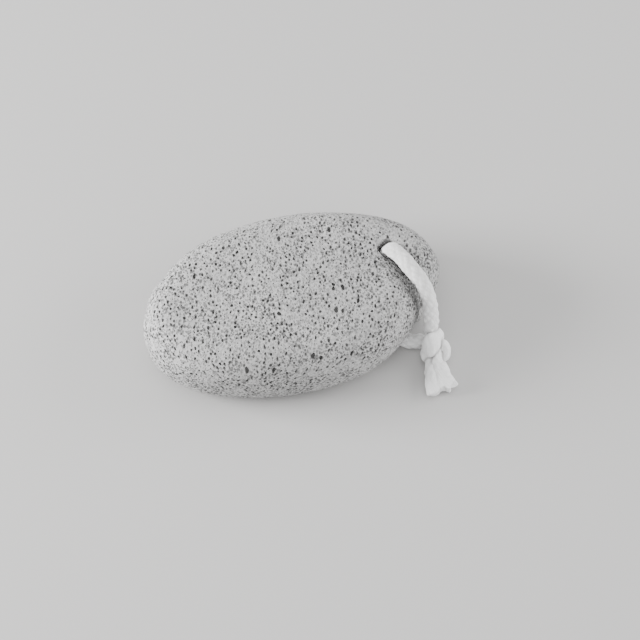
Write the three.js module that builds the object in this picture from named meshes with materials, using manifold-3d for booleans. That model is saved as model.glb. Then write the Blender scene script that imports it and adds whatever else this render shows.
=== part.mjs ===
// A pumice stone with a cotton cord through one end, in millimetres.
// +X points to the cord's end, +Z up, and the stone lies on z = 0.
import * as THREE from "three";
import { mergeVertices } from "three/addons/utils/BufferGeometryUtils.js";
import Module from "manifold-3d";

const wasm = await Module();
wasm.setup();

// Stone: the top is a low dome, and the edges are rounded from the middle height
const halfLength = 47.6;
const halfWidth = 28.9;
const thickness = 26;
const crown = 2.2;
const middle = 12.4;
const topRound = 9.5;
const bottomRound = 7;
const roundPower = 0.87;
const wave = { height: 0.3, alongX: 8, alongY: 7 };
const outlinePoints = [
  [47.5, -1.5], [46.6, 4.6], [44.0, 10.8], [39.4, 15.9], [32.2, 20.4], [22, 24.6],
  [9.5, 27.8], [-4, 28.9], [-17, 27.5], [-29, 23.6], [-38.2, 17.8], [-44.0, 10.3],
  [-47.5, 2.8], [-46.8, -5.6], [-43.1, -12.8], [-36, -18.9], [-25.5, -24.0], [-12, -27.6],
  [2, -28.9], [14, -27.9], [24.2, -24.4], [31.2, -19.6], [37.9, -13.6], [44.5, -7.3],
];

// Hole for the cord
const hole = {
  x: 32.05, y: 3.7, radius: 2.95, flare: 3.4, flareDepth: 4, topDrop: 2.5, sides: 20, overrun: 3,
};

// Soft groove on top, from the hole to the notch in the side
const groove = {
  start: [33.2, 1.9], heading: [0.379, -0.925], run: 12, dish: 5,
  depthAtHole: 2.5, depthAtEdge: 4.4, sideShare: 0.85, lowShare: 0.3,
  leftAtHole: 5.5, leftAtEdge: 8.5, right: 4.7, notch: 3.9,
};

// Groove underneath for the lower strand
const underGroove = {
  width: 6, height: 6.4, roof: 1.9, steps: 12, roofSteps: 3,
  points: [
    [32, 4.4], [31.3, -3.1], [30.3, -8.1], [29.7, -13.1], [30.7, -16.7], [33.7, -18.5],
    [38.7, -19.7],
  ],
};

// Net of triangles: how fine it is, and the shares of it on the flat top and on the base
const net = { detail: 13, topShare: 0.64, baseShare: 0.57 };

// Larger pores: six-sided pits, kept off the hole, the groove underneath and a flat place
const pores = {
  count: 260, smallest: 0.5, largest: 1.1, steepness: 1.3, longestReach: 0.45, holeClear: 6,
  baseClear: 10,
};
const flatPlace = [-8, 0];

// Cord
const cordRadius = 2.3;
const cordSides = 8;
const loopSteps = 60;
const loopPoints = [
  [39.6, -18.2, 9], [39.8, -17, 13.5], [39.8, -15.5, 18], [39.5, -13.7, 21.8],
  [38.7, -11.2, 24.7], [37.4, -8.2, 25.8], [36.1, -5, 26.1], [35, -2, 26.2],
  [34, 0.6, 25.9], [32.9, 2.7, 24.5], [32.1, 3.7, 21.4], [32, 3.8, 17], [32.1, 3.7, 11], [32.1, 3.6, 7],
  [32, 2.3, 4], [31.5, -1.7, 2.4], [30.7, -6.1, 2.3], [29.9, -10.6, 2.3], [29.6, -14.1, 2.3],
  [30.7, -16.8, 2.3], [33.1, -18.3, 2.3], [35.7, -19, 2.3],
];

// Knot: the first strand goes straight through, the second is tied round it
const knotRadius = 1.65;
const firstSteps = 10;
const secondSteps = 30;
const firstStrand = [
  [39.6, -18.3, 8.4], [39.4, -19, 7], [39.2, -20.5, 5.2], [38.6, -22.6, 3.9],
  [37.6, -24.8, 3.2], [36.7, -27.2, 2.6], [36.3, -29.6, 2.4],
];
const secondStrand = [
  [36.9, -19.3, 2.1], [39, -19.2, 1.8], [41.3, -19, 2.3], [42.9, -19.3, 4.1],
  [42.5, -20, 6.2], [40.9, -21.3, 7.5], [38.4, -23.7, 7.4], [36.2, -25.1, 6.2],
  [35.2, -25.3, 4.1], [36.4, -25.6, 2.2], [38.3, -26.1, 1.8], [40.6, -27, 2],
  [42.5, -27.2, 2.8], [43.3, -25.9, 4.2],
  [42.6, -24, 5.2], [41.3, -23.4, 5], [40.2, -24.1, 4.3], [39.6, -25.7, 3.7],
  [39, -28.1, 3], [38.9, -30.1, 2.6],
];
const tails = [
  { from: [36.7, -27.2, 2.4], to: [34.6, -36.5, 2.3], narrow: 1.9, wide: 2.5 },
  { from: [39, -27.6, 2.7], to: [38.4, -37, 2.5], narrow: 2.0, wide: 3.3 },
];
const tailFlatness = 0.74;
const tailSides = 10;

// Slivers left by the cuts are closed up to this size
const smallestEdge = 0.02;

// Materials
const stoneGrey = new THREE.MeshStandardMaterial({ color: 0xbdbdbb, roughness: 0.95, metalness: 0 });
const cottonWhite = new THREE.MeshStandardMaterial({ color: 0xd9d9d9, roughness: 0.9, metalness: 0 });

// The same random numbers on every run
let seed = 7;
function random() {
  seed = (seed * 16807) % 2147483647;
  return seed / 2147483647;
}

function smooth(value) {
  const t = Math.min(Math.max(value, 0), 1);
  return t * t * (3 - 2 * t);
}

function solidFrom(geometry) {
  const shell = geometry.clone();
  shell.deleteAttribute("normal");
  shell.deleteAttribute("uv");
  const merged = mergeVertices(shell, 1e-4);
  return new wasm.Manifold(new wasm.Mesh({
    numProp: 3,
    vertProperties: new Float32Array(merged.attributes.position.array),
    triVerts: new Uint32Array(merged.index.array),
  }));
}

function geometryFrom(solid) {
  const { vertProperties, triVerts } = solid.getMesh();
  const geometry = new THREE.BufferGeometry();
  geometry.setAttribute("position", new THREE.BufferAttribute(vertProperties, 3));
  geometry.setIndex(new THREE.BufferAttribute(triVerts, 1));
  geometry.computeVertexNormals();
  return geometry;
}

// How deep the groove is at a place seen from above, and how wide its sides are there.
// faceUp is 1 on the flat top and 0 on the upright side.
function grooveDepth(x, y, faceUp) {
  const dx = x - groove.start[0];
  const dy = y - groove.start[1];
  const along = dx * groove.heading[0] + dy * groove.heading[1];
  const across = dx * groove.heading[1] - dy * groove.heading[0];
  const run = smooth(along / groove.run);
  const depth = THREE.MathUtils.lerp(groove.depthAtHole, groove.depthAtEdge, run);
  const left = THREE.MathUtils.lerp(groove.leftAtHole, groove.leftAtEdge, run);
  const wide = across > 0 ? left : groove.right;
  const width = THREE.MathUtils.lerp(groove.notch, wide, faceUp);
  const behind = Math.max(-along, 0) / groove.dish;
  const reach = Math.hypot(across / width, behind);
  return reach < 1 ? depth * Math.cos(reach * Math.PI / 2) ** 2 : 0;
}

const outline = new THREE.CatmullRomCurve3(
  outlinePoints.map(([x, y]) => new THREE.Vector3(x, y, 0)), true, "catmullrom", 0.5);

// A point of the stone's skin for a place on a ball, given by its turn and its height
function skinPoint(turn, height) {
  const isTop = height >= 0;
  const share = isTop ? net.topShare : net.baseShare;
  const lean = Math.max(0, 1 - Math.abs(height) / share);
  const inward = Math.min(1, Math.sqrt((1 - Math.abs(height)) / (1 - share)));
  const angle = lean * Math.PI / 2;
  const inset = (isTop ? topRound : bottomRound) * (1 - Math.sin(angle) ** roundPower);
  const rim = outline.getPoint(turn);
  const tangent = outline.getTangent(turn);
  const x = (rim.x - tangent.y * inset) * inward;
  const y = (rim.y + tangent.x * inset) * inward;
  const rise = Math.cos(angle) ** roundPower;
  if (!isTop) {
    const low = THREE.MathUtils.lerp(groove.lowShare, groove.sideShare, lean) * Math.sin(angle);
    const pull = grooveDepth(x, y, 0) * low;
    return [x - groove.heading[0] * pull, y - groove.heading[1] * pull, middle * (1 - rise)];
  }
  const faceUp = Math.cos(angle);
  const dome = crown * Math.max(0, 1 - (x / halfLength) ** 2 - (y / halfWidth) ** 2);
  const ripple = wave.height * Math.sin(x / wave.alongX + 1) * Math.cos(y / wave.alongY);
  const depth = grooveDepth(x, y, faceUp);
  const pull = depth * groove.sideShare * Math.sin(angle);
  return [
    x - groove.heading[0] * pull,
    y - groove.heading[1] * pull,
    middle + (thickness - middle - crown) * rise + (dome + ripple) * faceUp - depth * faceUp,
  ];
}

// An even net of triangles on a ball, laid over the stone's shape
function stoneNet() {
  const ball = new THREE.IcosahedronGeometry(1, net.detail);
  ball.deleteAttribute("normal");
  ball.deleteAttribute("uv");
  const skin = mergeVertices(ball, 1e-4);
  const place = skin.attributes.position;
  for (let i = 0; i < place.count; i += 1) {
    const turn = Math.atan2(place.getY(i), place.getX(i)) / (2 * Math.PI);
    place.setXYZ(i, ...skinPoint((turn + 1) % 1, THREE.MathUtils.clamp(place.getZ(i), -1, 1)));
  }
  skin.computeVertexNormals();
  return skin;
}

function canHoldPore(place) {
  const { x, y, z } = place;
  const offHole = Math.hypot(x - hole.x, y - hole.y) > pores.holeClear;
  const offFlatPlace = z > 1 || Math.hypot(x - flatPlace[0], y - flatPlace[1]) > pores.baseClear;
  const offUnderGroove = z > underGroove.height + 2
    || underGroove.points.every(([px, py]) => Math.hypot(x - px, y - py) > pores.holeClear);
  return offHole && offFlatPlace && offUnderGroove;
}

// Opens a pit at a random choice of the net's points, no two of them neighbours
function withPores(skin) {
  const place = (i) => new THREE.Vector3().fromBufferAttribute(skin.attributes.position, i);
  const count = skin.attributes.position.count;
  const near = Array.from({ length: count }, () => new Set());
  for (let t = 0; t < skin.index.count; t += 3) {
    const corners = [0, 1, 2].map((k) => skin.index.getX(t + k));
    for (const a of corners) for (const b of corners) near[a].add(b);
  }
  const pits = new Map();
  const taken = new Set();
  while (pits.size < pores.count) {
    const i = Math.floor(random() * count);
    if (taken.has(i) || !canHoldPore(place(i))) continue;
    pits.set(i, THREE.MathUtils.lerp(pores.smallest, pores.largest, random() ** 2));
    for (const other of near[i]) taken.add(other);
  }
  const positions = Array.from(skin.attributes.position.array);
  for (const [i, radius] of pits) {
    const inward = new THREE.Vector3().fromBufferAttribute(skin.attributes.normal, i);
    const bottom = place(i).addScaledVector(inward, -radius * pores.steepness);
    bottom.toArray(positions, 3 * i);
  }
  const rims = new Map();
  const rimPoint = (from, to) => {
    const key = from + "-" + to;
    if (!rims.has(key)) {
      const way = place(to).sub(place(from));
      const reach = Math.min(pits.get(from), pores.longestReach * way.length());
      positions.push(...place(from).add(way.setLength(reach)).toArray());
      rims.set(key, positions.length / 3 - 1);
    }
    return rims.get(key);
  };
  const index = [];
  for (let t = 0; t < skin.index.count; t += 3) {
    const corners = [0, 1, 2].map((k) => skin.index.getX(t + k));
    const edge = [];
    corners.forEach((corner, k) => {
      const before = corners[(k + 2) % 3];
      const after = corners[(k + 1) % 3];
      if (!pits.has(corner)) {
        edge.push(corner);
        return;
      }
      index.push(corner, rimPoint(corner, after), rimPoint(corner, before));
      edge.push(rimPoint(corner, before), rimPoint(corner, after));
    });
    for (let k = 1; k + 1 < edge.length; k += 1) index.push(edge[0], edge[k], edge[k + 1]);
  }
  const geometry = new THREE.BufferGeometry();
  geometry.setAttribute("position", new THREE.Float32BufferAttribute(positions, 3));
  geometry.setIndex(index);
  return geometry;
}

// Hole with flared mouths
function holeSolid() {
  const mouth = thickness - hole.topDrop;
  const profile = [
    [0, -hole.overrun], [hole.flare, -hole.overrun], [hole.flare, 0],
    [hole.radius, hole.flareDepth], [hole.radius, mouth - hole.flareDepth], [hole.flare, mouth],
    [hole.flare, thickness + hole.overrun], [0, thickness + hole.overrun],
  ];
  const lathe = new THREE.LatheGeometry(profile.map(([r, z]) => new THREE.Vector2(r, z)), hole.sides);
  lathe.rotateX(Math.PI / 2);
  lathe.translate(hole.x, hole.y, 0);
  return solidFrom(lathe);
}

// A band along the strand's way, open at the base, with a rounded roof
function underGrooveSolid() {
  const { width, height, roof, steps, roofSteps, points } = underGroove;
  const path = new THREE.CatmullRomCurve3(points.map(([x, y]) => new THREE.Vector3(x, y, 0)));
  const left = [];
  const right = [];
  for (let i = 0; i <= steps; i += 1) {
    const at = path.getPoint(i / steps);
    const way = path.getTangent(i / steps);
    left.push(new THREE.Vector2(at.x + way.y * width / 2, at.y - way.x * width / 2));
    right.unshift(new THREE.Vector2(at.x - way.y * width / 2, at.y + way.x * width / 2));
  }
  const band = new THREE.ExtrudeGeometry(new THREE.Shape([...left, ...right]), {
    depth: height, bevelThickness: roof, bevelSize: roof, bevelOffset: -roof,
    bevelSegments: roofSteps,
  });
  band.translate(0, 0, -roof);
  return solidFrom(band);
}

function tube(points, radius, steps) {
  const path = new THREE.CatmullRomCurve3(points.map((point) => new THREE.Vector3(...point)));
  const section = new THREE.Shape();
  for (let i = 0; i < cordSides; i += 1) {
    const angle = (i / cordSides) * 2 * Math.PI;
    if (i === 0) section.moveTo(radius, 0);
    else section.lineTo(radius * Math.cos(angle), radius * Math.sin(angle));
  }
  section.closePath();
  return new THREE.ExtrudeGeometry(section, { steps, bevelEnabled: false, extrudePath: path });
}

// A cut end of the cord, spread towards its tip
function tailSolid({ from, to, narrow, wide }) {
  const start = new THREE.Vector3(...from);
  const way = new THREE.Vector3(...to).sub(start);
  const length = way.length();
  const profile = [[0, 0], [narrow, 0], [narrow * 1.05, length * 0.4], [wide, length * 0.88],
    [wide * 0.8, length], [0, length]];
  const lathe = new THREE.LatheGeometry(profile.map(([r, y]) => new THREE.Vector2(r, y)), tailSides);
  lathe.scale(1, 1, tailFlatness);
  const along = way.normalize();
  const across = new THREE.Vector3().crossVectors(along, new THREE.Vector3(0, 0, 1)).normalize();
  const up = new THREE.Vector3().crossVectors(across, along);
  lathe.applyMatrix4(new THREE.Matrix4().makeBasis(across, along, up).setPosition(start));
  return solidFrom(lathe);
}

function makeStone() {
  const block = solidFrom(withPores(stoneNet()));
  const solid = block.subtract(holeSolid()).subtract(underGrooveSolid()).simplify(smallestEdge);
  const stone = new THREE.Mesh(geometryFrom(solid), stoneGrey);
  stone.name = "stone";
  return stone;
}

function makeCord() {
  const cord = new THREE.Mesh(tube(loopPoints, cordRadius, loopSteps), cottonWhite);
  cord.name = "cord";
  return cord;
}

function makeKnot() {
  let solid = solidFrom(tube(firstStrand, knotRadius, firstSteps));
  solid = solid.add(solidFrom(tube(secondStrand, knotRadius, secondSteps)));
  for (const tail of tails) solid = solid.add(tailSolid(tail));
  const knot = new THREE.Mesh(geometryFrom(solid), cottonWhite);
  knot.name = "knot";
  return knot;
}

const pumice = new THREE.Group();
pumice.name = "pumice-stone-on-cord";
pumice.add(makeStone(), makeCord(), makeKnot());

export default pumice;
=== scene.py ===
import math
import random

import bmesh
import bpy
import numpy as np
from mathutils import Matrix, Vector, noise
from mathutils.bvhtree import BVHTree
from mathutils.kdtree import KDTree


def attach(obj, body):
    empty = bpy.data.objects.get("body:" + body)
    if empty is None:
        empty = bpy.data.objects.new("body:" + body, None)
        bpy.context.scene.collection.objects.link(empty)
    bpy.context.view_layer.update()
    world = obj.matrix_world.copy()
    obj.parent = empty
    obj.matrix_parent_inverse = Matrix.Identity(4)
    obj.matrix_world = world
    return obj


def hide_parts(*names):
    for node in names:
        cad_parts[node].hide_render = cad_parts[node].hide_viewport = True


# Pumice stone with a cotton cord. Sizes are written in mm and made in metres.
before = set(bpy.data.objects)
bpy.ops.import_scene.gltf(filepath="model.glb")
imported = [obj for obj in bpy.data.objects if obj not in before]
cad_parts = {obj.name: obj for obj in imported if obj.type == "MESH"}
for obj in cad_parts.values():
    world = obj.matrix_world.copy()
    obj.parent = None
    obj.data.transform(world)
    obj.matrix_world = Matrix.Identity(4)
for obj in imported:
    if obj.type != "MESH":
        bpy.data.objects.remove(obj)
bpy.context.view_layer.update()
mm = 0.001


# the camera stands where the photograph was taken from
shot = {
    "azimuth": -16.5,              # 0 looks along +Y
    "elevation": 62,
    "distance": 950,
    "lookAt": (6.6, -7.6, 11.2),   # middle of the picture
    "across": 199.4,               # width of the picture at that place
    "sensor": 36,
    "clipStart": 10,
}


def makeCamera():
    turn = math.radians(shot["azimuth"])
    lift = math.radians(shot["elevation"])
    back = Vector((math.sin(turn) * math.cos(lift), -math.cos(turn) * math.cos(lift), math.sin(lift)))
    data = bpy.data.cameras.new("camera")
    data.sensor_width = shot["sensor"]
    data.lens = shot["sensor"] * shot["distance"] / shot["across"]
    data.clip_start = shot["clipStart"] * mm
    camera = bpy.data.objects.new("camera", data)
    camera.location = (Vector(shot["lookAt"]) + back * shot["distance"]) * mm
    camera.rotation_mode = "QUATERNION"
    camera.rotation_quaternion = (-back).to_track_quat("-Z", "Y")
    bpy.context.scene.collection.objects.link(camera)
    bpy.context.scene.camera = camera


makeCamera()
print("camera ready")


# shader maths written as expressions
class Wire:
    # one output socket, with the operators that make Math nodes
    def __init__(self, finish, socket):
        self.finish = finish
        self.socket = socket

    def maths(self, operation, *values):
        return self.finish.node("ShaderNodeMath", {"operation": operation}, dict(enumerate(values)))

    def __add__(self, other):
        return self.maths("ADD", self, other)

    def __sub__(self, other):
        return self.maths("SUBTRACT", self, other)

    def __rsub__(self, other):
        return self.maths("SUBTRACT", other, self)

    def __mul__(self, other):
        return self.maths("MULTIPLY", self, other)

    __radd__ = __add__
    __rmul__ = __mul__


class Finish:
    # a material under construction
    def __init__(self, name):
        self.material = bpy.data.materials.new(name)
        self.material.use_nodes = True
        self.tree = self.material.node_tree
        self.tree.nodes.clear()

    def node(self, kind, settings=None, sockets=None, output=0):
        made = self.tree.nodes.new(kind)
        for name, value in (settings or {}).items():
            setattr(made, name, value)
        for name, value in (sockets or {}).items():
            if isinstance(value, Wire):
                self.tree.links.new(value.socket, made.inputs[name])
            else:
                made.inputs[name].default_value = value
        return Wire(self, made.outputs[output]) if made.outputs else None

    def objectPlace(self):
        return self.node("ShaderNodeTexCoord", output=3)

    def marked(self, name, output=2):
        # what the mesh holds for each point: output 2 is a number, 1 a vector
        return self.node("ShaderNodeAttribute", {"attribute_name": name}, output=output)

    def mixColours(self, factor, first, second, blend="MIX"):
        settings = {"data_type": "RGBA", "blend_type": blend}
        return self.node("ShaderNodeMix", settings, {0: factor, 6: first, 7: second}, 2)

    def ramp(self, value, low, high):
        # 0 at low and 1 at high, with soft ends
        settings = {"interpolation_type": "SMOOTHSTEP"}
        return self.node("ShaderNodeMapRange", settings, {0: value, 1: low, 2: high})

    def spots(self, place, scale, detail, roughness):
        sockets = {"Vector": place, "Scale": scale, "Detail": detail, "Roughness": roughness}
        return self.node("ShaderNodeTexNoise", {}, sockets)

    def bump(self, height, strength, distance):
        sockets = {"Strength": strength, "Distance": distance * mm, "Height": height}
        return self.node("ShaderNodeBump", {}, sockets)

    def finished(self, sockets):
        surface = self.node("ShaderNodeBsdfPrincipled", {}, sockets)
        self.node("ShaderNodeOutputMaterial", {}, {"Surface": surface})
        return self.material


def grey(value, warmth=0.0):
    return (value * (1 + warmth), value, value * (1 - warmth), 1)


def makeObject(name, points, faces, material, sharpAngle=None):
    mesh = bpy.data.meshes.new(name)
    mesh.from_pydata([tuple(p) for p in points], [], faces)
    mesh.polygons.foreach_set("use_smooth", [True] * len(mesh.polygons))
    if sharpAngle is not None:
        mesh.set_sharp_from_angle(angle=math.radians(sharpAngle))
    mesh.materials.append(material)
    made = bpy.data.objects.new(name, mesh)
    bpy.context.scene.collection.objects.link(made)
    return made


def markPoints(piece, name, values):
    mark = piece.data.attributes.new(name, "FLOAT", "POINT")
    mark.data.foreach_set("value", values)


def smooth(value):
    t = min(max(value, 0), 1)
    return t * t * (3 - 2 * t)


def lerp(a, b, t):
    return a + (b - a) * t


def layeredNoise(place, scale, finerScale, finerShare, offset=(0, 0, 0)):
    return noise.noise(place * scale + Vector(offset)) + finerShare * noise.noise(place * finerScale)


# the cotton cord is one length, from cut end to cut end
cordStyle = {
    "radius": 2.28,
    "step": 0.25,                 # between rings
    "sides": 44,
    "pathStep": 1,                # between the points of the route that the part keeps

    "plaits": 3,                  # pairs of lobes round the cord
    "plaitLength": 3.3,
    "plaitRelief": 0.28,
    "plaitMiddle": 0.4,           # the height of lobe that lies on the cord's own radius
    "plaitWander": 0.9,           # how far the lobes stray from their rows
    "flatRelief": 0.1,            # relief that is kept where the cord is pressed flat
    "wobble": 0.24,               # uneven thickness
    "fineWobble": 0.096,
    "wanderNoise": (2.5, 0.35),   # each noise: how far out it is read, and how fine it is
    "wobbleNoise": (3, 0.22),
    "fineNoise": (2, 0.9),
    "yarnTurn": 7,                # mm of cord to a radian of twist
    "yarnStretch": 0.14,

    "tailSpread": 9,              # how far from their ends the tails are fluffed out
    "tailSmoothing": 0.75,        # plait relief that is lost there
    "tailLumps": 0.1,
    "tailFolds": 0.07,
    "foldCount": 13,              # radians of fold across a tail
    "foldLean": 0.12,
    "lumpNoise": (0.62, 1.3, 0.5, (7, 3, 1)),   # scale, finer scale, its share, offset
    "endLength": 5,
    "endLumps": 0.5,              # how ragged the cut ends are
    "endLevels": (0.82, 0.6, 0.36, 0.15),       # rings that close a cut end
    "endDraw": 0.45,              # how far they draw in from side to side
    "endBulge": 0.5,
    "endTufts": 0.3,
    "tuftNoise": (0.9, 2.1, 0.6),
    "endYarn": 0.3,               # how far the yarns run on over a cut end
    # how much further each cut end reaches, from its one side to the other
    "cutEnds": {
        "first": [1.4, 1.7, 1.5, 0.9, 0.4, 0.2, 0],
        "second": [-0.2, 0.5, 0.7, 0.4, 1.7, 2, -0.1, 0, 0.9],
    },

    "bendAcross": (0.925, 0.379, 0),   # the way the loop is flattened over the hole's edge
    "knotStart": -14,             # the knot and the tails are beyond this y
    "knotEnd": -29.5,
    "knotFade": 2,
    "knotCore": ((39.3, -19.5, 6.3), (36.7, -27.2, 2.6)),
    "coreRadius": 1.2,
    "coreFade": 1.5,
    "lowest": 0.02,               # just above the table

    "creaseReach": 0.8,           # how far from a crease the cotton is shaded
    "creaseApart": 6,             # mm of cord between two strands that make a crease
    "creaseFade": 4,
    "creasesEnd": -30.5,          # y beyond which the tails only lie side by side

    "cotton": 0.95,
    "dimpleShade": 0.78,               # painted shade on the cotton between the lobes
    "creaseShade": 0.45,               # painted shade where two strands meet
    "topShade": 0.8,               # painted shade, the cotton darker higher up over the stone
    "topShadeFrom": 18,            # height at which that begins, and at which it is full
    "topShadeTo": 26,
    "roughness": 0.92,
    "fuzz": 0.15,
    "strandScale": 2.6,           # to a mm of yarn, the other two to a metre
    "tuftScale": 420,
    "fibreScale": 2600,
    "relief": 0.4,                # how deep the bumps look
    "reliefStrength": 0.7,

    # x, y, z, then how wide and how thick the cord is there
    "firstTail": [
        [35.9, -36.8, 2.3, 3.3, 1.9], [36.0, -35.2, 2.4, 3.2, 1.9], [36.2, -33, 2.5, 2.8, 1.9],
        [36.5, -30.2, 2.5, 2.4, 1.8], [36.9, -27.4, 2.7, 1.9, 1.6], [37.6, -24.8, 3.4, 1.6, 1.5],
        [38.5, -22.6, 4.1, 1.6, 1.5], [39.1, -20.6, 5.3, 1.8, 1.6], [39.4, -19, 7, 2.1, 1.9],
    ],
    # round where no width is given
    "loop": [
        [39.6, -18.2, 9], [39.9, -16.8, 13.2], [40, -15, 16.9], [39.8, -12.7, 19.9],
        [39, -10, 22.4], [37.7, -7.2, 23.9, 2.4, 2.2], [36.3, -4.2, 24.7, 2.5, 2.1],
        [35.2, -1.4, 25, 2.5, 1.9], [33.8, 1.6, 25, 2.5, 1.5], [32.4, 3.9, 24.5, 2.5, 1.15],
        [31.8, 4.5, 22, 2.4, 1.5], [31.9, 4, 17], [32.1, 3.7, 11],
        [32.1, 3.6, 7], [32, 2.3, 4], [31.5, -1.7, 2.4], [30.7, -6.1, 2.3], [29.9, -10.6, 2.3],
        [29.6, -14.1, 2.3], [30.7, -16.8, 2.3], [33.1, -18.3, 2.3], [35.7, -19, 2.3],
    ],
    "secondTail": [
        [36.9, -19.3, 2.1, 2.0, 1.9], [38.9, -19.3, 1.9, 1.8, 1.7], [40.7, -19.5, 2.4, 1.8, 1.6],
        [41.8, -20.1, 4.2, 2.0, 1.5], [41.4, -20.8, 6, 2.4, 1.4], [40.1, -21.8, 7.1, 2.8, 1.35],
        [38.4, -23.3, 7.1, 2.9, 1.35], [37.1, -24.5, 6, 2.6, 1.4], [36.4, -25, 4.1, 2.2, 1.4],
        [36.6, -25.5, 2.2, 1.9, 1.35], [38.3, -26, 1.8, 1.8, 1.35], [40.2, -26.5, 2.1, 1.8, 1.5],
        [41.7, -26.4, 2.9, 2.0, 1.6], [42.4, -25, 4.2, 2.1, 1.6], [41.9, -23.4, 5.1, 2.1, 1.5],
        [40.9, -23.2, 4.9, 1.9, 1.3], [40.1, -24.1, 4.4, 1.9, 1.3], [39.7, -25.7, 4, 2.1, 1.4],
        [38.9, -28, 3.4, 2.4, 1.6], [38.7, -30.3, 3, 2.8, 1.8], [38.7, -33, 2.8, 3.2, 1.9],
        [38.7, -35.2, 2.7, 3.8, 2.0], [38.8, -36.4, 2.6, 4.0, 2.0],
    ],
}


def smoothPath(points, step, perSpan=24):
    # centripetal Catmull-Rom through the points, then evenly spaced
    points = [np.array(p, float) for p in points]
    points = [2 * points[0] - points[1]] + points + [2 * points[-1] - points[-2]]
    fine = []
    for a, b, c, d in zip(points, points[1:], points[2:], points[3:]):
        gaps = [max(np.linalg.norm((q - p)[:3]), 1e-6) ** 0.5 for p, q in ((a, b), (b, c), (c, d))]
        start = (b - a) / gaps[0] - (c - a) / (gaps[0] + gaps[1]) + (c - b) / gaps[1]
        end = (c - b) / gaps[1] - (d - b) / (gaps[1] + gaps[2]) + (d - c) / gaps[2]
        for i in range(perSpan):
            fine.append(hermite(b, c, start * gaps[1], end * gaps[1], i / perSpan))
    fine.append(points[-2])
    fine = np.array(fine)
    gone = np.concatenate([[0], np.cumsum(np.linalg.norm(np.diff(fine[:, :3], axis=0), axis=1))])
    places = np.linspace(0, gone[-1], int(gone[-1] / step) + 1)
    return np.stack([np.interp(places, gone, column) for column in fine.T], axis=1), places


def hermite(a, b, start, end, t):
    return (a * (2 * t ** 3 - 3 * t ** 2 + 1) + b * (3 * t ** 2 - 2 * t ** 3)
            + start * (t ** 3 - 2 * t ** 2 + t) + end * (t ** 3 - t ** 2))


def cordFrames(line):
    # tangents, and one side direction carried along without twisting
    tangents = np.gradient(line, axis=0)
    tangents /= np.linalg.norm(tangents, axis=1)[:, None]
    side = np.cross(tangents[0], (0, 0, 1))
    sides = []
    for tangent in tangents:
        side = side - tangent * side.dot(tangent)
        side /= np.linalg.norm(side)
        sides.append(side)
    sides = np.array(sides)
    return tangents, sides, np.cross(tangents, sides)


def thinDirection(place, tangent):
    style = cordStyle
    if place[1] > style["knotStart"]:
        return np.cross(tangent, style["bendAcross"])
    # inside the knot the cord is pressed flat against the core, beyond it against the table
    a, b = (np.array(p) for p in style["knotCore"])
    along = np.clip((place - a).dot(b - a) / (b - a).dot(b - a), 0, 1)
    away = place - (a + along * (b - a))
    inKnot = smooth((np.linalg.norm(away) - style["coreRadius"]) / style["coreFade"])
    inKnot *= smooth((place[1] - style["knotEnd"]) / style["knotFade"])
    up = np.array((0, 0, 1.0))
    away = away / max(np.linalg.norm(away), 1e-6) * inKnot + up * (1 - inKnot)
    away -= tangent * away.dot(tangent)
    return away / max(np.linalg.norm(away), 1e-6)


def noiseRound(place, around, reading):
    reach, fineness = reading
    return noise.noise(Vector(place + around * reach) * fineness)


def cutEndReach(name, share):
    # share runs from 0 at the one side of the flat end to 1 at the other
    reach = cordStyle["cutEnds"][name]
    place = min(max(share, 0), 1) * (len(reach) - 1)
    i = min(int(place), len(reach) - 2)
    return lerp(reach[i], reach[i + 1], smooth(place - i))


def findCreases(points, ringOf):
    # mask for the painted shade in the creases: 1 where another strand touches, fading to 0 a little way
    # off
    style = cordStyle
    reach = style["creaseReach"]
    apart = style["creaseApart"] / style["step"]
    tree = KDTree(len(points))
    for i, p in enumerate(points):
        tree.insert(p, i)
    tree.balance()
    creases = []
    for p, ring in zip(points, ringOf):
        others = [gap for _, i, gap in tree.find_range(p, reach) if abs(ringOf[i] - ring) > apart]
        knotted = smooth((p[1] - style["creasesEnd"]) / style["creaseFade"])
        creases.append(smooth(1 - min(others) / reach) * knotted if others else 0)
    return creases


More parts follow.
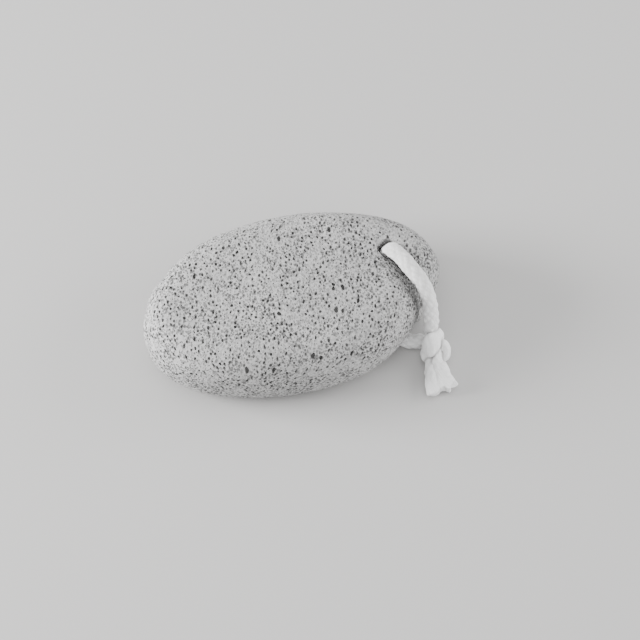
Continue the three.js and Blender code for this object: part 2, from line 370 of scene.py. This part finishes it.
class CordMesh:
    # points in mm, and what the material wants to know about each of them
    def __init__(self):
        self.points = []
        self.dimpleShades = []
        self.yarn = []
        self.ringOf = []
        self.faces = []

    def addPoint(self, place, dimpleShade, yarn, ring):
        self.points.append(place)
        self.dimpleShades.append(dimpleShade)
        self.yarn.append(yarn)
        self.ringOf.append(ring)

    def joinRings(self, low, high, flip=False):
        for j in range(len(low)):
            k = (j + 1) % len(low)
            face = (low[j], low[k], high[k], high[j])
            self.faces.append(face[::-1] if flip else face)

    def addTube(self, line, gone, frames):
        style = cordStyle
        r = style["radius"]
        total = gone[-1]
        count = style["sides"]
        centre, wide, thick = line[:, :3], line[:, 3], line[:, 4]
        tangents, sides, ups = frames
        for i, place in enumerate(centre):
            thin = thinDirection(place, tangents[i])
            across = np.cross(tangents[i], thin)
            toEnd = min(gone[i], total - gone[i])
            isFirst = gone[i] < total / 2
            outwards = tangents[i] * (-1 if isFirst else 1)
            spread = smooth(1 - toEnd / style["tailSpread"])
            soft = (1 - style["tailSmoothing"] * spread) * min(1, thick[i] / r + style["flatRelief"])
            for j in range(count):
                angle = 2 * math.pi * j / count
                around = sides[i] * math.cos(angle) + ups[i] * math.sin(angle)
                plait = style["plaits"] * angle
                stray = noiseRound(place, around, style["wanderNoise"]) * style["plaitWander"]
                drift = math.pi * (gone[i] + stray) / style["plaitLength"]
                lobe = abs(math.cos(plait + drift)) * abs(math.cos(plait - drift))
                relief = (lobe - style["plaitMiddle"]) * style["plaitRelief"] * soft
                uneven = noiseRound(place, around, style["wobbleNoise"]) * style["wobble"]
                uneven += noiseRound(place, around, style["fineNoise"]) * style["fineWobble"]
                flat = across * around.dot(across) * wide[i] + thin * around.dot(thin) * thick[i]
                point = place + flat * (1 + (relief + uneven) / r)
                if spread > 0:
                    lumps = layeredNoise(Vector(point), *style["lumpNoise"])
                    share = 0.5 + 0.5 * around.dot(across) * (1 if across[0] > 0 else -1)
                    reach = cutEndReach("first" if isFirst else "second", share)
                    atEnd = smooth(1 - toEnd / style["endLength"])
                    point = point + outwards * (lumps * style["endLumps"] + reach) * atEnd
                    folds = math.sin(share * style["foldCount"] + place[1] * style["foldLean"]
                                     + (0 if isFirst else 2))
                    fluff = lumps * style["tailLumps"] + folds * style["tailFolds"]
                    point = point + flat * fluff * spread
                twist = angle + gone[i] / style["yarnTurn"]
                strand = (r * math.cos(twist), r * math.sin(twist), gone[i] * style["yarnStretch"])
                # (1 - lobe) is the mask for the painted shade between the lobes
                self.addPoint(point, (1 - lobe) * soft, strand, i)
        for i in range(len(centre) - 1):
            low = [i * count + j for j in range(count)]
            self.joinRings(low, [p + count for p in low])

    def addCutEnd(self, ring, thin, outwards):
        # rounded and lumpy, closing from above and below so that the ragged line of the rim stays
        style = cordStyle
        count = style["sides"]
        outer = [ring * count + j for j in range(count)]
        rim = [self.points[i] for i in outer]
        strands = [self.yarn[i] for i in outer]
        middle = sum(rim) / count
        flip = ring == 0
        for level in style["endLevels"]:
            start = len(self.points)
            for p, strand in zip(rim, strands):
                inner = p - thin * (p - middle).dot(thin) * (1 - level)
                inner = lerp(middle, inner, 1 - style["endDraw"] * (1 - level))
                tufts = layeredNoise(Vector(inner), *style["tuftNoise"])
                bulge = (style["endBulge"] + style["endTufts"] * tufts) * math.sqrt(1 - level * level)
                along = strand[2] + style["endYarn"] * (1 - level)
                yarn = (strand[0] * level, strand[1] * level, along)
                self.addPoint(inner + outwards * bulge, 0, yarn, ring)
            inner = list(range(start, start + count))
            self.joinRings(outer, inner, flip)
            outer = inner
        tip = len(self.points)
        yarn = (0, 0, strands[0][2] + style["endYarn"])
        self.addPoint(middle + outwards * style["endBulge"], 0, yarn, ring)
        for j in range(count):
            face = (outer[j], outer[(j + 1) % count], tip)
            self.faces.append(face[::-1] if flip else face)


def makeCord(material):
    style = cordStyle
    r = style["radius"]
    loop = [p if len(p) > 3 else [*p, r, r] for p in style["loop"]]
    route = style["firstTail"] + loop + style["secondTail"]
    line, gone = smoothPath(route, style["step"])
    centre = line[:, :3]
    frames = cordFrames(centre)
    tangents = frames[0]
    form = CordMesh()
    form.addTube(line, gone, frames)
    last = len(centre) - 1
    form.addCutEnd(0, thinDirection(centre[0], tangents[0]), -tangents[0])
    form.addCutEnd(last, thinDirection(centre[last], tangents[last]), tangents[last])
    # nothing reaches below the table
    points = [(p[0], p[1], max(p[2], style["lowest"])) for p in form.points]
    cord = makeObject("cottonCord", [(x * mm, y * mm, z * mm) for x, y, z in points], form.faces, material)
    # mask for the painted shade in the creases
    markPoints(cord, "creaseShade", findCreases(points, form.ringOf))
    # mask for the painted shade between the lobes
    markPoints(cord, "dimpleShade", form.dimpleShades)
    mark = cord.data.attributes.new("yarn", "FLOAT_VECTOR", "POINT")
    mark.data.foreach_set("vector", [value for row in form.yarn for value in row])
    path = smoothPath(route, style["pathStep"])[0][:, :3] * mm
    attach(cord, "root")
    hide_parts("cord", "knot")


def cottonFinish():
    style = cordStyle
    cotton = Finish("softCotton")
    place = cotton.objectPlace()
    strands = cotton.spots(cotton.marked("yarn", 1), style["strandScale"], 3, 0.6)
    fibres = cotton.spots(place, style["fibreScale"], 4, 0.7)
    tufts = cotton.spots(place, style["tuftScale"], 3, 0.6)
    height = cotton.node("ShaderNodeSeparateXYZ", {}, {0: place}, 2)
    # mask for the painted shade, the cotton darker higher up
    topShade = cotton.ramp(height, style["topShadeFrom"] * mm, style["topShadeTo"] * mm)
    dimpleShade = cotton.ramp(cotton.marked("dimpleShade"), 0.5, 1.0)
    shade = grey(style["dimpleShade"], 0.01)
    plain = grey(style["cotton"])
    tone = cotton.mixColours(cotton.ramp(tufts, 0.35, 0.65), grey(style["cotton"] * 0.95), plain)
    # painted shade between the lobes and in the low yarn grooves
    tone = cotton.mixColours(dimpleShade * 0.85, tone, shade)
    tone = cotton.mixColours(cotton.ramp(strands, 0.5, 0.34) * 0.5, tone, shade)
    # painted shade where two strands touch
    tone = cotton.mixColours(cotton.marked("creaseShade") * 0.8, tone, grey(style["creaseShade"], 0.01))
    # painted shade, darker higher up on the cord
    tone = cotton.mixColours(topShade * 0.75, tone, grey(style["topShade"], 0.005), "MULTIPLY")
    relief = fibres * 0.25 + tufts * 0.35 + strands * 0.9
    return cotton.finished({
        "Base Color": tone,
        "Roughness": style["roughness"],
        "Normal": cotton.bump(relief, style["reliefStrength"], style["relief"]),
        "Specular IOR Level": 0.25,
        "Sheen Weight": style["fuzz"],
        "Sheen Roughness": 0.6,
    })


makeCord(cottonFinish())


# the pumice stone has the shape of its solid, with finer pores
stoneStyle = {
    "halfLength": 47.6, "halfWidth": 28.9, "thickness": 26, "crown": 2.2,
    "middle": 12.4, "topRound": 9.5, "bottomRound": 7, "roundPower": 0.87,
    "topShare": 0.64, "baseShare": 0.57,
    "waveHeight": 0.3, "waveX": 8, "waveY": 7,
    "unevenness": 0.22, "unevenNoise": (0.09, 0.25, 0.45),   # scale, finer scale, its share
    "shoulder": [[-37.6, 18.2, 4.5, -0.55], [-42.6, 13.6, 4, 0.6]],   # x, y, reach, push outwards
    "bulk": (47, 28, 14), "bulkHeight": 12,   # plain egg form that says which way is outwards
    "flatBelow": 2,
    "fineness": 5,
    "finerBeyond": 0.45, "finerAt": 0.2, "finerReach": 0.35,   # x and z on the ball it is made from
    "sharpAngle": 38,
    "outline": [
        [47.5, -1.5], [46.6, 4.6], [44.0, 10.8], [39.4, 15.9], [32.2, 20.4], [22, 24.6],
        [9.5, 27.8], [-4, 28.9], [-17, 27.5], [-29, 23.6], [-38.2, 17.8], [-44.0, 10.3],
        [-47.5, 2.8], [-46.8, -5.6], [-43.1, -12.8], [-36, -18.9], [-25.5, -24.0], [-12, -27.6],
        [2, -28.9], [14, -27.9], [24.2, -24.4], [31.2, -19.6], [37.9, -13.6], [44.5, -7.3],
    ],
    "groove": {
        "start": (33.2, 1.9), "heading": (0.379, -0.925), "run": 12, "dish": 5,
        "depthAtHole": 2.5, "depthAtEdge": 4.4, "sideShare": 0.85, "midShare": 0.45, "footFill": 0.75,
        "leftAtHole": 5.5, "leftAtEdge": 8.5, "right": 4.7, "notch": 3.9,
    },
    "hole": {
        "x": 31.9, "y": 3.95, "sides": 40,
        "squareness": 3.4,               # nearly straight where the cord is pulled against the stone
        "profile": [[3.45, -3], [3.2, 0], [2.85, 1.2], [2.75, 2],       # radius and height
                    [2.75, 21.5], [2.85, 23.5], [3.05, 24.7], [3.45, 27.5]],
    },
    "underGroove": {
        "width": 6, "height": 6.4, "roof": 1.9, "from": -3, "step": 1.2,
        "points": [[32, 4.4], [31.3, -3.1], [30.3, -8.1], [29.7, -13.1], [30.7, -16.7],
                   [33.7, -18.5], [38.7, -19.7]],
    },
    "pores": {
        "count": 6500, "triesEach": 12, "seed": 11,
        "groups": 5,                     # cut one after another, so that no two in a group touch
        "smallest": 0.27, "largest": 0.6, "smallBelow": 0.42,   # radius
        "rare": 0.03, "rareLargest": 0.95,   # share and radius of the big ones
        "bias": 1.4, "rareBias": 2,      # above 1 for more small ones
        "usual": 0.85, "patchiness": 1.3, "patchNoise": (0.16, 0.5, 0.6, (5, 9, 2)),
        "chained": 0.1, "chainGap": 0.95,
        "gap": 1.15, "wall": 0.06, "groupGap": 0.2, "cell": 2,
        "depth": 1.05, "shallowest": 0.8, "deepest": 1.4,
        "stretch": 1.5, "narrowest": 0.78, "slant": 0.6, "above": 0.6,
        "oval": 0.13, "threeSided": 0.1,
        "flow": (0.35, 1, 0.2),          # bubbles are drawn out along the flow in the stone
        "flowStray": 0.8, "flowNoise": 0.08,
        # size and height of each ring of points, by how many points it has
        "rings": {
            5: [[1.08, 0.25]],
            6: [[0.95, 0.35], [0.9, -0.5]],
            8: [[0.85, 0.4], [1.0, -0.2], [0.6, -0.85]],
        },
    },
    "tones": {
        "plain": 0.37, "pale": 0.42, "patchScale": 60,
        "grain": 0.62, "grainScale": 1500,
        "grooveShade": 0.22,                    # painted shade in the groove
        "grooveShadeDepth": 1.7,                # mm of groove depth that get the full painted shade
        "grooveShadeAbove": 8,
        # painted shade inside the pores
        "poreShade": 0.085,
        "finePores": 850, "finestPores": 1350, "crowdingScale": 150,
        "bend": 0.3, "bendScale": 900,
        "drawnOut": (1.0, 0.92, 1.0),
        "roughness": 0.95,
        "relief": 0.3, "reliefStrength": 0.8,
    },
}


def outlinePoint(turn):
    rim = stoneStyle["outline"]
    t = (turn % 1) * len(rim)
    i = int(t)
    t -= i
    a, b, c, d = (rim[(i + k) % len(rim)] for k in (-1, 0, 1, 2))
    return [hermite(b[k], c[k], 0.5 * (c[k] - a[k]), 0.5 * (d[k] - b[k]), t) for k in (0, 1)]


def outlineHeading(turn):
    a, b = outlinePoint(turn - 1e-4), outlinePoint(turn + 1e-4)
    size = math.hypot(b[0] - a[0], b[1] - a[1])
    return (b[0] - a[0]) / size, (b[1] - a[1]) / size


def grooveDepth(x, y, faceUp):
    g = stoneStyle["groove"]
    dx, dy = x - g["start"][0], y - g["start"][1]
    along = dx * g["heading"][0] + dy * g["heading"][1]
    across = dx * g["heading"][1] - dy * g["heading"][0]
    run = smooth(along / g["run"])
    depth = lerp(g["depthAtHole"], g["depthAtEdge"], run)
    left = lerp(g["leftAtHole"], g["leftAtEdge"], run)
    width = lerp(g["notch"], left if across > 0 else g["right"], faceUp)
    reach = math.hypot(across / width, max(-along, 0) / g["dish"])
    return depth * math.cos(reach * math.pi / 2) ** 2 if reach < 1 else 0


def skinPoint(turn, height):
    # turn goes once round the outline, height from -1 in the middle of the base to 1 on top
    s = stoneStyle
    g = s["groove"]
    isTop = height >= 0
    share = s["topShare"] if isTop else s["baseShare"]
    lean = max(0, 1 - abs(height) / share)
    inward = min(1, math.sqrt(max(0, 1 - abs(height)) / (1 - share)))
    angle = lean * math.pi / 2
    inset = (s["topRound"] if isTop else s["bottomRound"]) * (1 - math.sin(angle) ** s["roundPower"])
    rim, way = outlinePoint(turn), outlineHeading(turn)
    x = (rim[0] - way[1] * inset) * inward
    y = (rim[1] + way[0] * inset) * inward
    rise = max(0, math.cos(angle)) ** s["roundPower"]
    if isTop:
        faceUp = math.cos(angle)
        dome = s["crown"] * max(0, 1 - (x / s["halfLength"]) ** 2 - (y / s["halfWidth"]) ** 2)
        ripple = s["waveHeight"] * math.sin(x / s["waveX"] + 1) * math.cos(y / s["waveY"])
        depth = grooveDepth(x, y, faceUp)
        pull = depth * lerp(g["midShare"], g["sideShare"], faceUp) * math.sin(angle)
        top = s["middle"] + (s["thickness"] - s["middle"] - s["crown"]) * rise
        z = top + (dome + ripple) * faceUp - depth * faceUp
    else:
        # the notch fades out downwards, and the stone's foot stands straighter there
        depth = grooveDepth(x, y, 0)
        pull = depth * g["midShare"] * lean * math.sin(angle)
        pull -= inset * inward * g["footFill"] * min(1, depth / g["depthAtEdge"])
        z = s["middle"] * (1 - rise)
    return x - g["heading"][0] * pull, y - g["heading"][1] * pull, z


def meshFromBmesh(form, name):
    mesh = bpy.data.meshes.new(name)
    form.to_mesh(mesh)
    form.free()
    made = bpy.data.objects.new(name, mesh)
    bpy.context.scene.collection.objects.link(made)
    return made


def wantsFinerMesh(vert):
    # round the groove and the rounded edge
    s = stoneStyle
    return vert.co.x > s["finerBeyond"] or abs(vert.co.z - s["finerAt"]) < s["finerReach"]


def makeBlock():
    s = stoneStyle
    form = bmesh.new()
    bmesh.ops.create_icosphere(form, subdivisions=s["fineness"], radius=1)
    fine = [edge for edge in form.edges if any(wantsFinerMesh(vert) for vert in edge.verts)]
    bmesh.ops.subdivide_edges(form, edges=fine, cuts=1, use_grid_fill=True)
    bmesh.ops.triangulate(form, faces=form.faces)
    long, wide, high = s["bulk"]
    for vert in form.verts:
        x, y, z = vert.co.normalized()
        place = Vector(skinPoint(math.atan2(y, x) / (2 * math.pi), max(-1, min(1, z))))
        out = Vector((place.x / long, place.y / wide, (place.z - s["bulkHeight"]) / high)).normalized()
        amount = s["unevenness"] * layeredNoise(place, *s["unevenNoise"])
        for x, y, reach, push in s["shoulder"]:
            amount += push * math.exp(-((place.x - x) ** 2 + (place.y - y) ** 2) / reach ** 2)
        if place.z < s["flatBelow"]:
            out.z = 0
        vert.co = place + out * amount
    return meshFromBmesh(form, "block")


def joinRings(form, rings):
    for low, high in zip(rings, rings[1:]):
        for j in range(len(low)):
            form.faces.new((low[j], low[j - len(low) + 1], high[j - len(low) + 1], high[j]))


def addHole(form):
    h = stoneStyle["hole"]
    heading = stoneStyle["groove"]["heading"]
    power = h["squareness"]
    facing = math.atan2(heading[1], heading[0])
    rings = []
    for radius, z in h["profile"]:
        ring = []
        for j in range(h["sides"]):
            turn = 2 * math.pi * j / h["sides"]
            out = radius / (abs(math.cos(turn)) ** power + abs(math.sin(turn)) ** power) ** (1 / power)
            x = h["x"] + out * math.cos(turn + facing)
            y = h["y"] + out * math.sin(turn + facing)
            ring.append(form.verts.new((x, y, z)))
        rings.append(ring)
    joinRings(form, rings)
    form.faces.new(rings[0][::-1])
    form.faces.new(rings[-1])


def addUnderGroove(form):
    # a rounded channel along the lower strand
    g = stoneStyle["underGroove"]
    line, _ = smoothPath([[*p, 0] for p in g["points"]], g["step"])
    ways = np.gradient(line, axis=0)
    section = [(-0.5, g["from"]), (0.5, g["from"]), (0.5, g["height"] - g["roof"])]
    for turn in (math.pi / 6, math.pi / 3, math.pi / 2):
        x = 0.5 - (1 - math.cos(turn)) * g["roof"] / g["width"]
        section.append((x, g["height"] - g["roof"] * (1 - math.sin(turn))))
    section += [(-x, z) for x, z in section[:1:-1]]
    rings = []
    for place, way in zip(line, ways):
        way = way / np.linalg.norm(way)
        ring = []
        for x, z in section:
            right, ahead = way[1] * x * g["width"], way[0] * x * g["width"]
            ring.append(form.verts.new((place[0] + right, place[1] - ahead, z)))
        rings.append(ring)
    joinRings(form, rings)
    form.faces.new(rings[0])
    form.faces.new(rings[-1])


def cut(block, form):
    bmesh.ops.recalc_face_normals(form, faces=form.faces)
    bmesh.ops.triangulate(form, faces=form.faces)
    cutter = meshFromBmesh(form, "cutter")
    tool = block.modifiers.new("cut", "BOOLEAN")
    tool.operation = "DIFFERENCE"
    tool.solver = "MANIFOLD"
    tool.object = cutter
    bpy.context.view_layer.update()
    graph = bpy.context.evaluated_depsgraph_get()
    result = bpy.data.meshes.new_from_object(block.evaluated_get(graph))
    block.modifiers.clear()
    old = block.data
    block.data = result
    bpy.data.meshes.remove(old)
    bpy.data.objects.remove(cutter)


def choosePores(block):
    style = stoneStyle["pores"]
    dice = random.Random(style["seed"])
    noise.seed_set(style["seed"])    # the noise vectors start from the clock otherwise
    mesh = block.data
    mesh.calc_loop_triangles()
    areas = np.array([t.area for t in mesh.loop_triangles])
    upTo = np.cumsum(areas)
    chosen = []
    cells = {}
    tries = 0
    while len(chosen) < style["count"] and tries < style["count"] * style["triesEach"]:
        tries += 1
        pick = int(np.searchsorted(upTo, dice.random() * upTo[-1]))
        triangle = mesh.loop_triangles[min(pick, len(areas) - 1)]
        a, b = sorted((dice.random(), dice.random()))
        corners = [mesh.vertices[i].co for i in triangle.vertices]
        place = corners[0] * a + corners[1] * (b - a) + corners[2] * (1 - b)
        patch = layeredNoise(place, *style["patchNoise"])
        if dice.random() > style["usual"] + style["patchiness"] * patch:
            continue
        if dice.random() < style["rare"]:
            radius = lerp(style["largest"], style["rareLargest"], dice.random() ** style["rareBias"])
            sides = 8
        else:
            radius = lerp(style["smallest"], style["largest"], dice.random() ** style["bias"])
            sides = 5 if radius < style["smallBelow"] else 6
        key = tuple(int(math.floor(c / style["cell"])) for c in place)
        near = [p for dx in (-1, 0, 1) for dy in (-1, 0, 1) for dz in (-1, 0, 1)
                for p in cells.get((key[0] + dx, key[1] + dy, key[2] + dz), ())]
        # a few pores run into each other, the others keep a wall between them
        gap, wall = style["gap"], style["wall"]
        if dice.random() < style["chained"]:
            gap, wall = style["chainGap"], 0
        if any((place - p["place"]).length < (radius + p["radius"]) * gap + wall for p in near):
            continue
        taken = {p["group"] for p in near if (place - p["place"]).length
                 < (radius + p["radius"]) * style["stretch"] + style["groupGap"]}
        free = [g for g in range(style["groups"]) if g not in taken]
        if not free:
            continue
        pore = {"place": place, "radius": radius, "group": free[0], "normal": triangle.normal.copy(),
                "sides": sides, "spin": dice.random(), "shape": dice.random()}
        chosen.append(pore)
        cells.setdefault(key, []).append(pore)
    return chosen


def addPore(form, pore):
    style = stoneStyle["pores"]
    place, radius, normal = pore["place"], pore["radius"], pore["normal"]
    sides, spin, shape = pore["sides"], pore["spin"], pore["shape"]
    flow = Vector(style["flow"]) + noise.noise_vector(place * style["flowNoise"]) * style["flowStray"]
    flow = flow - normal * flow.dot(normal)
    flow = flow.normalized() if flow.length > 0.2 else normal.orthogonal().normalized()
    other = normal.cross(flow)
    long = radius * lerp(1, style["stretch"], shape)
    wide = radius * lerp(1, style["narrowest"], shape)
    deep = radius * style["depth"] * lerp(style["shallowest"], style["deepest"], spin)
    slant = flow * (spin - 0.5) * radius * style["slant"]
    rings = []
    for size, level in style["rings"][sides]:
        ring = []
        for j in range(sides):
            angle = 2 * math.pi * (j + spin) / sides
            ragged = 1 + style["oval"] * math.sin(angle * 2 + 20 * shape)
            ragged += style["threeSided"] * math.sin(angle * 3 + 31 * spin)
            ring.append(form.verts.new(place + flow * long * size * ragged * math.cos(angle)
                                       + other * wide * size * ragged * math.sin(angle)
                                       + normal * level * deep + slant * max(0, -level)))
        rings.append(ring)
    joinRings(form, rings)
    bottom = form.verts.new(place - normal * deep + slant)
    top = form.verts.new(place + normal * deep * style["above"])
    for j in range(sides):
        form.faces.new((rings[0][j - sides + 1], rings[0][j], top))
        form.faces.new((rings[-1][j], rings[-1][j - sides + 1], bottom))


# how deep in the groove: the mask for painted shade and for more fine pores there
def grooveShadeAt(place):
    tones = stoneStyle["tones"]
    if place.z <= tones["grooveShadeAbove"]:
        return 0
    return smooth(grooveDepth(place.x, place.y, 1) / tones["grooveShadeDepth"])


def makeStone(material):
    block = makeBlock()
    print("block shaped,", len(block.data.polygons), "faces")
    for addShape in (addHole, addUnderGroove):
        form = bmesh.new()
        addShape(form)
        cut(block, form)
    block.data.calc_loop_triangles()
    skin = BVHTree.FromPolygons([v.co.copy() for v in block.data.vertices],
                                [tuple(t.vertices) for t in block.data.loop_triangles])
    pores = choosePores(block)
    for group in sorted({pore["group"] for pore in pores}):
        form = bmesh.new()
        for pore in pores:
            if pore["group"] == group:
                addPore(form, pore)
        cut(block, form)
    points = [v.co.copy() for v in block.data.vertices]
    faces = [tuple(p.vertices) for p in block.data.polygons]
    bpy.data.objects.remove(block)
    stone = makeObject("pumiceStone", [p * mm for p in points], faces, material, stoneStyle["sharpAngle"])
    # how deep each point lies under the skin, for the painted shade inside the pores
    markPoints(stone, "poreDepth", [skin.find_nearest(p)[3] for p in points])
    # the groove mask, for painted shade and more fine pores there
    markPoints(stone, "grooveShade", [grooveShadeAt(p) for p in points])
    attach(stone, "root")
    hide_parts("stone")
    stone.data.calc_loop_triangles()
    print("stone made,", len(pores), "pores,", len(stone.data.loop_triangles), "triangles")


def pumiceFinish():
    tones = stoneStyle["tones"]
    pumice = Finish("greyPumice")
    place = pumice.objectPlace()
    # mask for the painted shade inside the mesh pores
    inPore = pumice.ramp(pumice.marked("poreDepth"), 0.02, 0.5)
    # mask for the painted shade in the groove
    grooveShade = pumice.marked("grooveShade")
    patches = pumice.ramp(pumice.spots(place, tones["patchScale"], 3, 0.55), 0.35, 0.65)
    grain = pumice.spots(place, tones["grainScale"], 3, 0.7)
    # pores too fine for the mesh, as bent cells of two sizes, crowded in places and in the groove, bumped
    # and given painted shade
    crowding = pumice.ramp(pumice.spots(place, tones["crowdingScale"], 3, 0.6), 0.36, 0.6)
    crowding = crowding.maths("MAXIMUM", crowding, grooveShade)
    sockets = {"Vector": place, "Scale": tones["bendScale"], "Detail": 1}
    bend = pumice.node("ShaderNodeTexNoise", {}, sockets, 1)
    sockets = {0: bend, 1: [tones["bend"] * mm] * 3, 2: place}
    bent = pumice.node("ShaderNodeVectorMath", {"operation": "MULTIPLY_ADD"}, sockets)
    sockets = {0: bent, 1: tones["drawnOut"]}
    drawnOut = pumice.node("ShaderNodeVectorMath", {"operation": "MULTIPLY"}, sockets)
    fine = pumice.node("ShaderNodeTexVoronoi", {}, {"Vector": drawnOut, "Scale": tones["finePores"]})
    finest = pumice.node("ShaderNodeTexVoronoi", {}, {"Vector": drawnOut, "Scale": tones["finestPores"]})
    finePits = pumice.ramp(fine, 0.44, 0.34) * 0.6 + pumice.ramp(fine, 0.36, 0.12) * 0.4
    finePits = finePits * (crowding * 0.55 + 0.45)
    finestPits = pumice.ramp(finest, 0.44, 0.32) * 0.7 + pumice.ramp(finest, 0.34, 0.12) * 0.3
    finestPits = finestPits * (crowding * 0.65 + 0.35)
    pits = finePits.maths("MAXIMUM", finePits, finestPits * 0.85)
    tone = pumice.mixColours(patches, grey(tones["plain"], 0.004), grey(tones["pale"], 0.008))
    # painted shade in the groove
    tone = pumice.mixColours(grooveShade * 0.8, tone, grey(tones["grooveShade"], 0.006))
    tone = pumice.mixColours(pumice.ramp(grain, 0.42, 0.66) * 0.6, tone, grey(tones["grain"], 0.008))
    # painted shade inside the fine pores and the mesh pores
    tone = pumice.mixColours(pits, tone, grey(tones["poreShade"], 0.008))
    tone = pumice.mixColours(inPore * 0.85, tone, grey(tones["poreShade"], 0.01))
    return pumice.finished({
        "Base Color": tone,
        "Roughness": tones["roughness"],
        "Normal": pumice.bump(grain * 0.4 - pits, tones["reliefStrength"], tones["relief"]),
        "Specular IOR Level": 0.2,
    })


makeStone(pumiceFinish())


# floor and light
studio = {
    "floor": 0.5,
    "floorReach": 3,           # metres, as the places and sizes of the lights
    "world": 0.89,
    "lights": {
        "key": {"place": (-0.75, 0.24, 0.24), "size": 0.4, "power": 20},
        "right": {"place": (0.8, -0.1, 0.3), "size": 0.5, "power": 5.5},
        "front": {"place": (0.5, -0.6, 0.35), "size": 0.5, "power": 1.6},
        "top": {"place": (0.0, 0.0, 0.95), "size": 0.7, "power": 2.2},
    },
}


def makeFloor():
    pale = Finish("paleFloor").finished({"Base Color": grey(studio["floor"], 0.01), "Roughness": 0.85})
    far = studio["floorReach"]
    corners = [(-far, -far, 0), (far, -far, 0), (far, far, 0), (-far, far, 0)]
    makeObject("floor", corners, [(0, 1, 2, 3)], pale)


def makeLight(name, place, size, power):
    data = bpy.data.lights.new(name, "AREA")
    data.size = size
    data.energy = power
    light = bpy.data.objects.new(name, data)
    light.location = place
    light.rotation_euler = (-Vector(place)).to_track_quat("-Z", "Y").to_euler()
    bpy.context.scene.collection.objects.link(light)


def makeWorld():
    world = bpy.data.worlds.new("softRoom")
    world.use_nodes = True
    background = world.node_tree.nodes["Background"]
    background.inputs["Color"].default_value = (1, 1, 1, 1)
    background.inputs["Strength"].default_value = studio["world"]
    bpy.context.scene.world = world


makeFloor()
for name, light in studio["lights"].items():
    makeLight(name, **light)
makeWorld()
print("floor and light ready")
